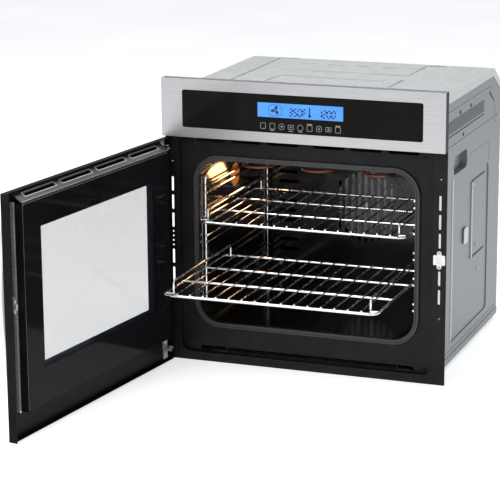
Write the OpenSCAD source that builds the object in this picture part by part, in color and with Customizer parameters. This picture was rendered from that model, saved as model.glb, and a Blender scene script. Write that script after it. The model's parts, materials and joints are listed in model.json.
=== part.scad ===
// Built-in wall oven with a side-hinged door, two sliding wire racks and a touch-control fascia.
// +X is to the right seen from the front, +Y goes back into the cabinet, +Z is up.
// The origin is on the underside of the base, in the middle of its width, at the cabinet face:
// the back of the front frame lies in Y = 0 and the base rests on Z = 0.

/* [Front] */
// Width of the fascia, the door and the front frame
front_w = 595; // [495:1:720]
// Height of the whole front, from the foot of the door to the top of the fascia
front_h = 595; // [495:1:720]
// How far the front hangs below the underside of the base
front_drop = 10; // [6:0.5:14]
// How far the door and fascia faces stand out from the cabinet face
door_proud = 21; // [20:0.5:26]
// Height of the control fascia
fascia_h = 119; // [100:1:145]
// Gap between the fascia and the door
door_gap = 5; // [4:0.5:8]
// Thickness of the front sheets
sheet_t = 1.2; // [1:0.1:1.4]
// Height of the lower cabinet screw holes above the foot of the front
fixing_foot = 137; // [100:1:150]
// Distance from the top of the front down to the upper cabinet screw holes
fixing_head = 175; // [150:1:190]
// Radius of a cabinet screw hole
fixing_r = 2.6; // [2:0.1:3.2]

/* [Body] */
// Depth of the body behind the cabinet face
body_d = 521; // [435:1:626]
// How far the front overlaps the body on each side
side_lap = 23.5; // [21:0.5:30]
// How far the fascia rises above the top of the body
top_lap = 25; // [10:1:40]
// Thickness of the body panels
panel_t = 1; // [0.8:0.1:1.2]
// Depth and height of the sloping cut at the top of the back
back_cut = [65, 42]; // [30:1:80]

/* [Cavity] */
// Room between the cavity and each side of the body, for insulation and air
side_room = 44.5; // [42:0.5:60]
// Height of the cavity floor above the base
floor_h = 74; // [66:1:90]
// Room above the cavity, for the air duct, the blower and the electronics
top_room = 145; // [135:1:170]
// Room behind the cavity, for insulation and the fan motor
back_room = 77; // [75:1:100]
// Corner radius of the cavity
cavity_r = 45; // [30:1:60]
// Thickness of the cavity sheet
liner_t = 1.2; // [1:0.1:1.5]
// Thickness of the insulation
wool_t = 24; // [16:1:24]

/* [Racks] */
// Radius of the rod round the edge of a rack
rim_r = 2.7; // [2.4:0.1:3]
// Radius of the wires across a rack
wire_r = 1.6; // [1.3:0.1:2]
// Number of wires from front to back
wire_count = 15; // [9:2:21]
// Corner radius of a rack, at the middle of its rod
rack_r = 18; // [15:1:24]
// Length of the lower rack that stays on its guides when it is drawn out
guide_keep = 96; // [90:1:200]
// How far the upper rack is drawn out
upper_pull = 101; // [60:1:120]
// Number of rack levels
level_count = 5; // [4:1:6]
// Height of the lowest rack level above the cavity floor
first_level = 56; // [45:1:70]
// Room above the top rack level
level_head = 73; // [60:1:100]
// Gap between the two guide rods of a level
guide_gap = 14; // [12:0.5:16]

/* [Door] */
// How far the door stands open
door_angle = 97; // [0:1:105]
// Border of the inner door on each side of the clear window
window_side = 59; // [52:1:90]
// Border of the inner door below the clear window
window_foot = 72.2; // [60:0.2:90]
// Border of the inner door above the clear window
window_head = 54.2; // [45:0.2:80]
// Thickness of the glass panes
glass_t = 4; // [3:0.5:4.5]
// Radius of the hinge pins
pin_r = 3; // [2.5:0.1:3.2]
// Running clearance round a hinge pin or a shaft
run_gap = 0.05; // [0.02:0.01:0.1]
// Height of the foot of the handle above the foot of the door
handle_foot = 80; // [60:1:120]
// Distance from the top of the door down to the top of the handle
handle_head = 51; // [40:1:110]
// How far the middle of the handle stands out from the door
handle_out = 46; // [40:1:60]
// Radius of the handle bar
handle_r = 8; // [6:0.5:9]

/* [Fans] */
// Radius of the fan in the cavity
fan_r = 76; // [60:1:85]
// Radius of the cooling blower wheel
blower_r = 70; // [55:1:75]
// Radius of the fan shafts
shaft_r = 4; // [3:0.5:5]

/* [Hidden] */
$fn = 48;
e = 0.01;
gap = 0.3;

// the front
z_bot = -front_drop;
z_top = z_bot + front_h;
face_y = -door_proud;
z_fascia = z_top - fascia_h;
door_top = z_fascia - door_gap;
half_w = front_w / 2;

// the body
body_w = front_w - 2 * side_lap;
body_h = front_h - front_drop - top_lap;
half_b = body_w / 2;
base_lip = 14;
side_back = body_d - 2 * panel_t;

// the recess in the front frame that the inner part of the door closes into
recess_y = 11;
recess_w = body_w - 10;
recess_z = 8;
recess_top = z_fascia + 6;
recess_r = 20;
floor_y = recess_y + sheet_t;

// the cavity
cavity_w = body_w - 2 * side_room;
cavity_h = body_h - floor_h - top_room;
cavity_mid = floor_h + cavity_h / 2;
cavity_back = body_d - back_room;
half_c = cavity_w / 2;
ceiling = floor_h + cavity_h;
fan_room = 25;
baffle_y = cavity_back - fan_room;
baffle_t = 1.2;
wool_top = ceiling + liner_t + wool_t;
element_r = 3.3;
pocket_h = 13;
wool_back = 18;
feed_x = half_c - 67;
broil_z = ceiling - 20;
bake_z = floor_h - liner_t - element_r - 1;
feed_end = cavity_back + 34;
probe = [130, ceiling - 36];

// the racks and the ladders that carry them
guide_r = 2;
upright_r = 2.2;
rim_x = half_c - 10.2;
guide_x = rim_x + 3;
ride_h = sqrt(pow(rim_r + guide_r + gap, 2) - 9);
ladder_front = 30;
ladder_back = baffle_y - 9;
rack_in = 75;
rack_d = baffle_y - 6 - rack_in;
lower_pull = rack_in + rack_d - ladder_front - guide_keep;
level_pitch = (cavity_h - first_level - level_head) / (level_count - 1);
function level(i) = floor_h + first_level + i * level_pitch;
lower_z = level(1) + ride_h;
upper_z = level(3) + ride_h;
guard_h = 26;
guard_x = rim_x - 16.5;

// the door, in its closed place
hinge_x = -half_w + 7.5;
hinge_y = face_y + 7.6;
door_back = recess_y - 7;
seal_h = recess_y - door_back - gap;
box_w = recess_w - 6;
box_z = z_bot + 52.6;
box_top = door_top - 22;
box_front = face_y + 5.5;
rail_w = 10;
window_w = box_w - 2 * window_side;
window_h = box_top - box_z - window_foot - window_head;
window_z = box_z + window_foot + window_h / 2;
lug_t = 3;
lug_z = z_bot + 20;
lug_top = door_top - 20;
bush_r = pin_r + 1.5;
leaf_t = 4;
ear_r = 5.5;
handle_x = half_w - 60;
handle_l = door_top - z_bot - handle_foot - handle_head;
handle_z = z_bot + handle_foot + handle_l / 2;

// the cabinet screw holes and the air slots between them; the latch takes a slot's place
fixing_x = half_w - 13.5;
fixing_z = [z_bot + fixing_foot, z_top - fixing_head];
slot_count = 6;
slot_x = half_w - 14;
slot_first = fixing_z[0] + 45;
slot_pitch = (fixing_z[1] - 47 - slot_first) / (slot_count - 1);
latch_slot = 2;
latch_x = slot_x;
latch_z = slot_first + latch_slot * slot_pitch;
catch_screw = 14.4;

// the controls
glass_w = front_w - 91;
panel_h = 77;
panel_z = z_fascia + 20;
display_w = 184;
display_h = 30;
display_z = panel_z + 31;
panel_y = face_y - 0.6 + glass_t;
board_y = panel_y + 6;

// the upper deck
duct_z = wool_top;
duct_h = 36;
duct_half = half_b - 29;
duct_t = 1;
blower_y = cavity_back - 114;
snail_r = blower_r + 18;

// the supply inlet, the terminal box and the looms
entry = [half_b - 84, body_h - 130];
entry_r = 11;
gland_r = entry_r + 4;
box_c = [entry[0], side_back - 25, entry[1]];
loom_x = box_c[0] - 30;
loom_r = 4.5;
loom_bend = 14;
board = [loom_x - 100, 30, duct_z + duct_h + duct_t];
board_top = board[2] + 11.6;

// the fan behind the cavity
fan_y = cavity_back - 19;
fan_h = 13;
motor_y = cavity_back + liner_t + wool_back + 1.5;
motor_r = 32;
motor_l = body_d - motor_y - 12;
ring_r = fan_r + 22;

// the lamp in the left wall
lamp_r = 22;
lens_r = lamp_r + 3;
lamp = [0, cavity_back - 235, ceiling - cavity_r - lens_r - 1];

// ---------- shared shapes ----------

// a rectangle with round corners, about the origin
module rounded(w, h, r) {
    square([w - 2 * r, h], center = true);
    square([w, h - 2 * r], center = true);
    for (x = [-1, 1], y = [-1, 1]) translate([x * (w / 2 - r), y * (h / 2 - r)]) circle(r);
}

// a slot with round ends, l long along x and w wide
module slot(l, w) {
    square([l - w, w], center = true);
    for (x = [-1, 1]) translate([x * (l - w) / 2, 0]) circle(w / 2);
}

// a drawing in x and z, given thickness t from y towards the back
module facing(y, t) {
    translate([0, y + t, 0]) rotate([90, 0, 0]) linear_extrude(t) children();
}

// a drawing in y and z, given thickness t from x towards the right
module sideways(x, t) {
    translate([x, 0, 0]) rotate([90, 0, 90]) linear_extrude(t) children();
}

module rod_x(x1, x2, y, z, r) {
    translate([x1, y, z]) rotate([0, 90, 0]) cylinder(h = x2 - x1, r = r);
}

module rod_y(x, y1, y2, z, r) {
    translate([x, y1, z]) rotate([-90, 0, 0]) cylinder(h = y2 - y1, r = r);
}

module rod_z(x, y, z1, z2, r) {
    translate([x, y, z1]) cylinder(h = z2 - z1, r = r);
}

// a screw along -y whose head's underside is at y
module screw_front(x, y, z, r, l) {
    rod_y(x, y - 0.45 * r - 0.8, y, z, 1.8 * r);
    rod_y(x, y - e, y + l, z, r);
}

// a copy on each side of the middle
module both() {
    children();
    mirror([1, 0, 0]) children();
}

// what moves with the door, turned from its closed place to where it stands
module on_door() {
    translate([hinge_x, hinge_y, 0]) rotate([0, 0, -door_angle]) translate([-hinge_x, -hinge_y, 0])
        children();
}

// the cavity's cross-section, grown by g
module mouth(g) {
    translate([0, cavity_mid]) rounded(cavity_w + 2 * g, cavity_h + 2 * g, cavity_r + g);
}

// ---------- body ----------

module base_pan() color("silver") difference() {
    union() {
        translate([-half_b, 0, 0]) cube([body_w, body_d, panel_t]);
        both() translate([half_b - panel_t, 0, 0]) cube([panel_t, body_d, base_lip]);
        translate([-half_b, body_d - panel_t, 0]) cube([body_w, panel_t, base_lip]);
    }
    for (x = [-2:2]) translate([x * 90, body_d - 90, -1]) linear_extrude(panel_t + 2) slot(60, 6);
}

// a side panel's outline, in y and z
module side_outline() {
    polygon([[0, panel_t], [side_back, panel_t], [side_back, body_h - back_cut[1] - panel_t],
        [side_back - back_cut[0], body_h - panel_t], [0, body_h - panel_t]]);
}

// the pressed field of a side panel, drawn in by g
field_y = [129, side_back - 95];
field_z = [38, ceiling - 51];
press = 2;
module side_field(g) {
    translate([(field_y[0] + field_y[1]) / 2, (field_z[0] + field_z[1]) / 2])
        rounded(field_y[1] - field_y[0] - 2 * g, field_z[1] - field_z[0] - 2 * g, 14 - g);
}

grip_y = 188;
grip_z = ceiling - 7;
grip_w = 104;
grip_h = 38;
grip_d = 13;
vent_count = 20;
module side_panel() {
    x = half_b - 2 * panel_t;
    difference() {
        union() {
            sideways(x, panel_t) difference() {
                side_outline();
                side_field(0);
            }
            sideways(x - press, panel_t) side_field(0);
            sideways(x - press, panel_t + press) difference() {
                side_field(0);
                side_field(panel_t);
            }
        }
        sideways(x - 5, 10) {
            translate([grip_y, grip_z]) rounded(grip_w, grip_h, 12);
            for (i = [0:vent_count - 1]) translate([76 + i * 15.2, body_h - 85]) slot(10, 4);
            for (y = [180, 265]) translate([y, body_h - 48]) circle(3);
            for (i = [0:1])
                translate([side_back - 92 + i * 24, body_h - 52 - i * 14]) rotate(-33) slot(26, 4);
        }
    }
}
module left_side_panel() color("silver") mirror([1, 0, 0]) side_panel();
module right_side_panel() color("silver") side_panel();

module grip_cups() color("gainsboro") both() {
    x = half_b - 2 * panel_t;
    difference() {
        sideways(x - grip_d, grip_d) translate([grip_y, grip_z]) rounded(grip_w + 4, grip_h + 4, 13);
        sideways(x - grip_d + panel_t, grip_d) translate([grip_y, grip_z]) rounded(grip_w, grip_h, 12);
    }
}

// the roof with its side flanges, and the slope at the back
module roof_line() {
    low = body_h - back_cut[1];
    polygon([[0, body_h - panel_t], [side_back - back_cut[0], body_h - panel_t], [side_back, low - panel_t],
        [side_back + panel_t, low - panel_t], [side_back + panel_t, low],
        [side_back - back_cut[0] + 0.3, body_h], [0, body_h]]);
}
module top_cover() color("silver") difference() {
    union() {
        sideways(-half_b, body_w) roof_line();
        both() sideways(half_b - panel_t, panel_t)
            polygon([[0, body_h - 16], [side_back - back_cut[0] - 5, body_h - 16],
                [side_back - 6, body_h - back_cut[1] - 12],
                [side_back + panel_t, body_h - back_cut[1] - 12],
                [side_back + panel_t, body_h - back_cut[1]],
                [side_back - back_cut[0], body_h], [0, body_h]]);
    }
    for (x = [-2:2]) translate([x * 60, side_back - 130, body_h - 3]) linear_extrude(5) slot(40, 5);
}

module rear_panel() color("silver") difference() {
    facing(side_back, panel_t) translate([0, body_h / 2])
        translate([0, -back_cut[1] / 2])
            square([body_w - 2 * panel_t, body_h - back_cut[1] - 2 * panel_t], center = true);
    facing(side_back - 5, 10) {
        for (r = [0:5], x = [-4:4]) translate([x * 24, cavity_mid - 37.5 + r * 15]) slot(16, 5);
        for (x = [-6:-1]) translate([x * 30 - 30, body_h - 80]) slot(20, 5);
        translate(entry) circle(gland_r + gap);
    }
}

module cavity_supports() color("silver") both() difference() {
    h = floor_h - liner_t - pocket_h - wool_t;
    translate([half_c - 44, 40, panel_t]) cube([30, cavity_back - 60, h - panel_t]);
    translate([half_c - 44 + panel_t, 39, 2 * panel_t]) cube([40, cavity_back - 58, h - 3 * panel_t]);
}

// ---------- front frame ----------

plug = [half_b - 24, [recess_z + 9, door_top - 11]];
module front_frame() color("#26272a") difference() {
    union() {
        facing(-sheet_t, sheet_t) difference() {
            translate([-half_w, z_bot]) square([front_w, front_h]);
            recess(0);
        }
        facing(-sheet_t, floor_y + sheet_t) difference() {
            recess(sheet_t);
            recess(0);
        }
        facing(recess_y, sheet_t) recess(0.5);
        for (i = [-9:9]) facing(-sheet_t - 0.5, 0.6) translate([i * body_w / 20.3, z_bot + 9]) slot(19, 5);
    }
    facing(-5, 30) {
        mouth(0);
        both() for (i = [0:slot_count - 1]) if (i != latch_slot)
            translate([slot_x, slot_first + i * slot_pitch]) rotate(90) slot(slot_pitch - 8, 4.5);
        both() for (i = [-1.5:1.5]) translate([slot_x, latch_z + i * catch_screw / 1.5]) circle(1.7);
        both() for (z = fixing_z) translate([fixing_x, z]) circle(fixing_r);
        both() for (x = [49, 127, 205]) translate([x * body_w / 548, door_top - 3]) slot(66, 10);
        translate([0, recess_z + 7]) slot(recess_w - 78, 10);
        both() for (z = plug[1]) translate([plug[0], z]) circle(2.05);
        translate([0, panel_z + panel_h / 2]) rounded(glass_w - 44, panel_h - 24, 5);
    }
}
module recess(g) {
    translate([0, (recess_z + recess_top) / 2])
        rounded(recess_w + 2 * g, recess_top - recess_z + 2 * g, recess_r + g);
}

module mouth_gasket() color("#9a9c9f") {
    facing(recess_y - 4.5, 4.5) difference() {
        mouth(10.5);
        mouth(1);
    }
    facing(recess_y - seal_h, seal_h - 4.5) difference() {
        mouth(10.5);
        mouth(1);
        difference() {
            mouth(7.5);
            mouth(4);
        }
    }
}

// ---------- controls ----------

// the outline of the control glass, grown by g, with corners of radius r
module panel_area(g, r) {
    translate([0, panel_z + panel_h / 2]) rounded(glass_w + 2 * g, panel_h + 2 * g, r);
}

module control_fascia() color("#c9cacc") difference() {
    translate([-half_w, face_y, z_fascia]) cube([front_w, door_proud - sheet_t, fascia_h]);
    translate([-half_w + sheet_t, face_y + sheet_t, z_fascia + sheet_t])
        cube([front_w - 2 * sheet_t, door_proud, fascia_h - 2 * sheet_t]);
    facing(face_y - 1, 5) panel_area(0, 4.5);
}

module control_glass() color("#0b0c0f") facing(panel_y - glass_t, glass_t) panel_area(-gap, 4.2);

// the tray behind the control glass, with a pocket that the glass sits in
module control_housing() color("#33353a") difference() {
    facing(face_y + sheet_t, door_proud - 2 * sheet_t) panel_area(7, 6);
    facing(face_y, panel_y - face_y) panel_area(0, 4.5);
    facing(face_y, -face_y - 3.7) panel_area(-4, 4);
    facing(face_y, 40) translate([0, panel_z + panel_h / 2]) rounded(glass_w - 60, panel_h - 34, 4);
}

module display_module() color("#2d8fe0")
    translate([-display_w / 2, panel_y, display_z]) cube([display_w, 5, display_h]);

module control_board() color("#1d5b3a") {
    translate([-glass_w / 2 + 12, board_y, panel_z + 8]) cube([glass_w - 24, 1.6, panel_h - 16]);
    for (x = [-190, -160, 140, 175]) translate([x, board_y + 1.6, panel_z + 24]) cube([18, 4, 14]);
    for (i = [-4:4]) rod_y(i * 19.6 - 2.5, board_y - 5.5, board_y, panel_z + 13, 4.5);
}

// ---------- cavity ----------

// where the two ends of the ring element pass through the back
module ring_feeds() {
    for (a = [-10, 10]) translate([0, cavity_mid]) rotate(a) translate([0, ring_r]) children();
}

module cavity_liner() color("#1c1a1a") difference() {
    facing(floor_y, cavity_back - floor_y + liner_t) mouth(liner_t);
    facing(floor_y - 1, cavity_back - floor_y + 1) mouth(0);
    facing(cavity_back - 5, 20) {
        translate([0, cavity_mid]) circle(shaft_r + 4);
        both() translate([feed_x, broil_z]) circle(element_r + 1);
        ring_feeds() circle(element_r + 1);
        translate(probe) circle(3.5);
    }
    translate(lamp) rod_x(-half_c - 5, -half_c + 5, 0, 0, lamp_r + 1);
}

module insulation_wrap() color("#d9c98a") difference() {
    zl = floor_h - liner_t - pocket_h;
    zo = zl - wool_t;
    facing(floor_y + 2, cavity_back + liner_t + wool_back - floor_y - 2)
        translate([0, (zo + wool_top) / 2])
            rounded(cavity_w + 2 * liner_t + 2 * wool_t, wool_top - zo, cavity_r + 20);
    facing(floor_y, cavity_back + liner_t - floor_y) mouth(liner_t);
    facing(floor_y, cavity_back + liner_t - floor_y)
        translate([-half_c + 40, zl]) square([cavity_w - 80, pocket_h + 20]);
    facing(cavity_back, 40) {
        translate([0, cavity_mid]) circle(shaft_r + 8);
        both() for (z = [broil_z, bake_z]) translate([feed_x, z]) circle(element_r + 3);
        ring_feeds() circle(element_r + 3);
        translate(probe) circle(5);
    }
    translate(lamp) rod_x(-half_b, -half_c, 0, 0, lens_r + 1);
}

spacer = [half_c - 30, cavity_h / 2 - 26];
slats = 9;
slat_pitch = 15;
grille_r = fan_r + 17;
grid_pitch = 22;
grid_rows = floor((cavity_h / 2 - 50) / grid_pitch);
module fan_baffle() color("#232122") difference() {
    union() {
        facing(baffle_y, baffle_t) mouth(-2);
        facing(baffle_y - 1.5, 1.6) translate([0, cavity_mid]) difference() {
            circle(grille_r);
            circle(grille_r - 4);
        }
    }
    facing(baffle_y - 3, 8) {
        for (i = [0:slats - 1]) {
            x = (i - (slats - 1) / 2) * slat_pitch;
            l = 2 * sqrt(pow(grille_r - 12, 2) - x * x);
            translate([x, cavity_mid]) rotate(90) slot(l, 7);
        }
        both() for (i = [-grid_rows:grid_rows])
            translate([half_c - 50, cavity_mid + i * grid_pitch]) slot(46, 8);
        for (x = [-1, 1], z = [-1, 1]) translate([x * spacer[0], cavity_mid + z * spacer[1]]) circle(2.1);
        translate(probe) circle(4);
        both() translate([feed_x, broil_z]) circle(element_r + 1.5);
    }
}

module baffle_spacers() color("#8f9092") for (x = [-1, 1], z = [-1, 1]) {
    rod_y(x * spacer[0], baffle_y + baffle_t, cavity_back, cavity_mid + z * spacer[1], 5);
    screw_front(x * spacer[0], baffle_y, cavity_mid + z * spacer[1], 2, baffle_t);
}

module ring_element() color("#5b4038") {
    translate([0, fan_y + 5, cavity_mid]) rotate([90, 0, 0]) rotate([0, 0, 98])
        rotate_extrude(angle = 344) translate([ring_r, 0]) circle(element_r);
    for (a = [-10, 10]) translate([0, 0, cavity_mid]) rotate([0, a, 0])
        rod_y(0, fan_y + 5, feed_end, ring_r, element_r - 0.6);
}

// a grill tube that runs to and fro six times, with feeds at the back
module serpentine(z, front, back, feed) {
    s = feed_x / 5;
    for (i = [0:5]) rod_y((2 * i - 5) * s, front + s, back - (i == 0 || i == 5 ? 0 : s), z, element_r);
    for (i = [-4, 0, 4]) translate([i * s, front + s, z]) rotate([0, 0, 180]) half_ring(s);
    for (i = [-2, 2]) translate([i * s, back - s, z]) half_ring(s);
    both() rod_y(feed_x, back - e, feed, z, element_r);
}
module half_ring(s) {
    rotate_extrude(angle = 180) translate([s, 0]) circle(element_r);
}
module broil_element() color("#8a4a36") serpentine(broil_z, 62, baffle_y - 15, feed_end);
module bake_element() color("#5b4038") serpentine(bake_z, 62, cavity_back - 40, feed_end);

module broil_brackets() color("#8f9092") for (y = [130, 320]) {
    w = 2 * feed_x + 30;
    translate([-w / 2, y, broil_z + element_r + 0.2]) cube([w, 10, 1.5]);
    both() translate([w / 2 - 1.5, y, broil_z + element_r + 0.2])
        cube([1.5, 10, ceiling - broil_z - element_r - 0.2]);
}

// ---------- rack ladders ----------

module ladder() {
    zs = [level(0) - 18, level(level_count - 1) + guide_gap + 18];
    for (i = [0:level_count - 1], d = [0, guide_gap])
        rod_y(guide_x, ladder_front, ladder_back, level(i) + d, guide_r);
    for (y = [ladder_front + 5, ladder_back - 5]) {
        rod_z(guide_x + 3.9, y, zs[0], zs[1], upright_r);
        for (z = [zs[0] + 10, zs[1] - 10]) rod_x(guide_x + 3.9, half_c, y, z, 3);
    }
}
module left_rack_support() color("#d6d7d9") mirror([1, 0, 0]) ladder();
module right_rack_support() color("#d6d7d9") ladder();

// ---------- racks ----------

// a rack whose front rod is at y = 0 and whose edge rod is at z = 0
module rack() color("#dfe0e2") {
    top = rim_r + wire_r - 0.4;
    rod_x(-rim_x + rack_r, rim_x - rack_r, 0, 0, rim_r);
    rod_x(-rim_x + rack_r, rim_x - rack_r, rack_d, 0, rim_r);
    both() {
        rod_y(rim_x, rack_r, rack_d - rack_r, 0, rim_r);
        translate([rim_x - rack_r, rack_r, 0]) rotate([0, 0, -90]) rack_corner();
        translate([rim_x - rack_r, rack_d - rack_r, 0]) rack_corner();
        guard();
    }
    for (i = [1:wire_count])
        rod_y((i / (wire_count + 1) - 0.5) * 2 * (rim_x - 3), 0, rack_d, top, wire_r);
    for (y = [rack_d / 3, rack_d * 2 / 3]) rod_x(-rim_x, rim_x, y, 0.3, 2.3);
}
module rack_corner() {
    rotate_extrude(angle = 90) translate([rack_r, 0]) circle(rim_r);
}
// the raised side guard that keeps dishes off the wall
module guard() {
    y1 = 16;
    y2 = rack_d - 10;
    r = 2.1;
    rod_y(guard_x, y1 + 8, y2 - 8, guard_h, r);
    translate([guard_x, y1 + 8, guard_h - 8]) rotate([90, 0, -90]) guard_corner(r);
    translate([guard_x, y2 - 8, guard_h - 8]) rotate([90, 0, 90]) guard_corner(r);
    rod_z(guard_x, y1, 1, guard_h - 8, r);
    rod_z(guard_x, y2, 1, guard_h - 8, r);
    for (y = [y1, y2]) rod_x(guard_x, rim_x, y, 1, r);
}
module guard_corner(r) {
    rotate_extrude(angle = 90) translate([8, 0]) circle(r);
}
module lower_rack() translate([0, rack_in - lower_pull, lower_z]) rack();
module upper_rack() translate([0, rack_in - upper_pull, upper_z]) rack();

// ---------- fan, lamp and sensors ----------

module convection_fan() color("#a8a9ab") difference() {
    union() {
        rod_y(0, fan_y + fan_h - 1.5, fan_y + fan_h, cavity_mid, fan_r);
        rod_y(0, fan_y, fan_y + fan_h + 1, cavity_mid, shaft_r + 4);
        for (i = [0:15]) translate([0, fan_y, cavity_mid]) rotate([0, i * 22.5, 0])
            translate([fan_r - 26, 0, -0.6]) rotate([0, 25, 0]) cube([25, fan_h - 0.7, 1.2]);
        rod_y(0, fan_y + fan_h - 1, motor_y + 20, cavity_mid, shaft_r);
    }
    rod_y(0, fan_y - 1, fan_y + fan_h - 2, cavity_mid, shaft_r - 1);
}
module fan_nut() color("#b9babc") {
    translate([0, fan_y, cavity_mid]) rotate([90, 0, 0]) cylinder(h = 3, r = shaft_r + 3, $fn = 6);
    rod_y(0, fan_y - e, fan_y + fan_h - 3, cavity_mid, shaft_r - 1);
}

module fan_motor() color("#4a4c50") difference() {
    union() {
        rod_y(0, motor_y, motor_y + motor_l, cavity_mid, motor_r);
        facing(motor_y - 1.5, 1.5 + e) translate([0, cavity_mid]) rounded(110, 80, 8);
    }
    rod_y(0, motor_y - 3, motor_y + 21, cavity_mid, shaft_r + run_gap);
}

module lamp_housing() color("#b8b9bb") difference() {
    translate(lamp) union() {
        rod_x(-half_b + 2 * panel_t + press + 3, -half_c - liner_t, 0, 0, lamp_r);
        rod_x(-half_c - liner_t - 1.5, -half_c - liner_t, 0, 0, lamp_r + 3);
    }
    translate(lamp) rod_x(-half_b + 2 * panel_t + press + 4.5, -half_c + 1, 0, 0, lamp_r - 1.5);
}
module lamp_bulb() color("#fff1c8") translate(lamp) {
    rod_x(-half_b + 2 * panel_t + press + 4.5, -half_b + 20, 0, 0, 9);
    rod_x(-half_b + 20, -half_c - 8, 0, 0, 6);
    translate([-half_c - 8, 0, 0]) sphere(6);
}
module lamp_lens() color("#e8e4d0") translate(lamp) union() {
    rod_x(-half_c - liner_t, -half_c, 0, 0, lamp_r - 1.6);
    rod_x(-half_c, -half_c + 2.4, 0, 0, lens_r);
}

module temperature_probe() color("#c9cacc") {
    rod_y(probe[0], baffle_y - 55, cavity_back + 26, probe[1], 2.5);
    translate([probe[0], baffle_y - 55, probe[1]]) sphere(2.5);
    rod_y(probe[0], cavity_back + 22, cavity_back + 28, probe[1], 5);
}
module thermal_cutout() color("#d8d2c0") {
    z = duct_z + duct_h + duct_t;
    rod_z(-70, blower_y - 110, z, z + 9, 9);
    for (s = [-1, 1]) translate([-70 + s * 4 - 0.5, blower_y - 113, z + 9]) cube([1, 6, 7]);
}

// ---------- air duct and blower ----------

module duct_plan(g) {
    y = floor_y + 70;
    polygon([[-duct_half + g, floor_y + g], [-duct_half + g, y], [-snail_r + g, blower_y - 80],
        [-snail_r + g, blower_y], [snail_r - g, blower_y], [snail_r - g, blower_y - 80],
        [duct_half - g, y], [duct_half - g, floor_y + g]]);
    translate([0, blower_y]) circle(snail_r - g, $fn = 96);
}
module air_duct() color("#b6b8bb") difference() {
    translate([0, 0, duct_z]) linear_extrude(duct_h) duct_plan(0);
    translate([0, 0, duct_z + duct_t]) linear_extrude(duct_h) duct_plan(duct_t);
    translate([-duct_half + 8, floor_y - 2, duct_z + 3]) cube([2 * duct_half - 16, 5, duct_h - 8]);
}
module duct_cover() color("#c2c4c7") difference() {
    translate([0, 0, duct_z + duct_h]) linear_extrude(duct_t) duct_plan(0);
    translate([0, blower_y, duct_z + duct_h - 1]) cylinder(h = 5, r = blower_r - 20);
}
module blower_wheel() color("#d5d6d8") translate([0, blower_y, duct_z]) {
    translate([0, 0, 5]) cylinder(h = 1.5, r = blower_r);
    translate([0, 0, 3]) cylinder(h = duct_h + 15, r = shaft_r);
    translate([0, 0, 3]) cylinder(h = 12, r = 12);
    for (i = [0:23]) rotate([0, 0, i * 15]) translate([blower_r - 13, -0.5, 6])
        rotate([0, 0, 30]) cube([12, 1, 24]);
    translate([0, 0, 29]) linear_extrude(1.5) difference() {
        circle(blower_r);
        circle(blower_r - 14);
    }
}
module blower_motor() color("#4a4c50") translate([0, blower_y, duct_z + duct_h + duct_t]) difference() {
    union() {
        translate([0, 0, 6]) cylinder(h = 33, r = 30);
        for (a = [0, 120, 240]) rotate([0, 0, a]) {
            translate([20, -6, 7]) cube([blower_r - 28, 12, 2]);
            translate([blower_r - 10, -6, 0]) cube([2, 12, 9]);
            translate([blower_r - 10, -6, 0]) cube([12, 12, 1.5]);
        }
    }
    translate([0, 0, -1]) cylinder(h = 22, r = shaft_r + run_gap);
}

module power_board() color("#1d5b3a") translate(board) {
    for (x = [8, 112], y = [8, 92]) translate([x, y, 0]) cylinder(h = 10, r = 3);
    translate([0, 0, 10]) cube([120, 100, 1.6]);
    for (i = [0:3]) translate([10 + i * 26, 50, 11.6]) cube([20, 16, 15]);
    translate([60, 6, 11.6]) cube([36, 34, 24]);
    for (x = [11, 28]) translate([x, 20, 11.6]) cylinder(h = 20, r = 7);
    translate([88, 88, 11.6]) cube([24, 12, 12]);
}

module terminal_box() color("#54575c") translate(box_c) difference() {
    translate([-38, -18, -30]) cube([76, 36, 60]);
    translate([-36.5, -16.5, -28.5]) cube([73, 40, 57]);
    translate([-30, -20, 15]) rotate([-90, 0, 0]) cylinder(h = 5, r = 5.5);
}
module conduit_gland() color("#2f3033") difference() {
    union() {
        rod_y(entry[0], side_back - 3, body_d, entry[1], gland_r);
        rod_y(entry[0], side_back - 6, side_back, entry[1], gland_r + 4);
    }
    rod_y(entry[0], side_back - 10, body_d + 1, entry[1], entry_r);
}

// the looms from the terminal box to the power board and from there to the controls
module loom_turn(x, y, z, a) {
    translate([x, y, z]) rotate([90, 0, 90]) rotate([0, 0, a]) rotate_extrude(angle = 90)
        translate([loom_bend, 0]) circle(loom_r);
}
module wiring_loom() color("#2a2a2c") {
    b = loom_bend;
    low = box_c[2] + 15;
    high = board_top + 6;
    y = 270;
    rod_y(loom_x, y, box_c[1] - 16.5, low, loom_r);
    loom_turn(loom_x, y, low + b, 180);
    rod_z(loom_x, y - b, low + b, high - b, loom_r);
    loom_turn(loom_x, y - 2 * b, high - b, 0);
    rod_y(loom_x, board[1] + 100, y - 2 * b, high, loom_r);
    x = board[0] + 46;
    top = panel_z + 26;
    rod_y(x, board_y + 1.6, board[1] + 4, top, loom_r);
    loom_turn(x, board[1] + 4, top - b, 0);
    rod_z(x, board[1] + 4 + b, board_top, top - b, loom_r);
}

// ---------- hinges, catch and screws ----------

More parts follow.
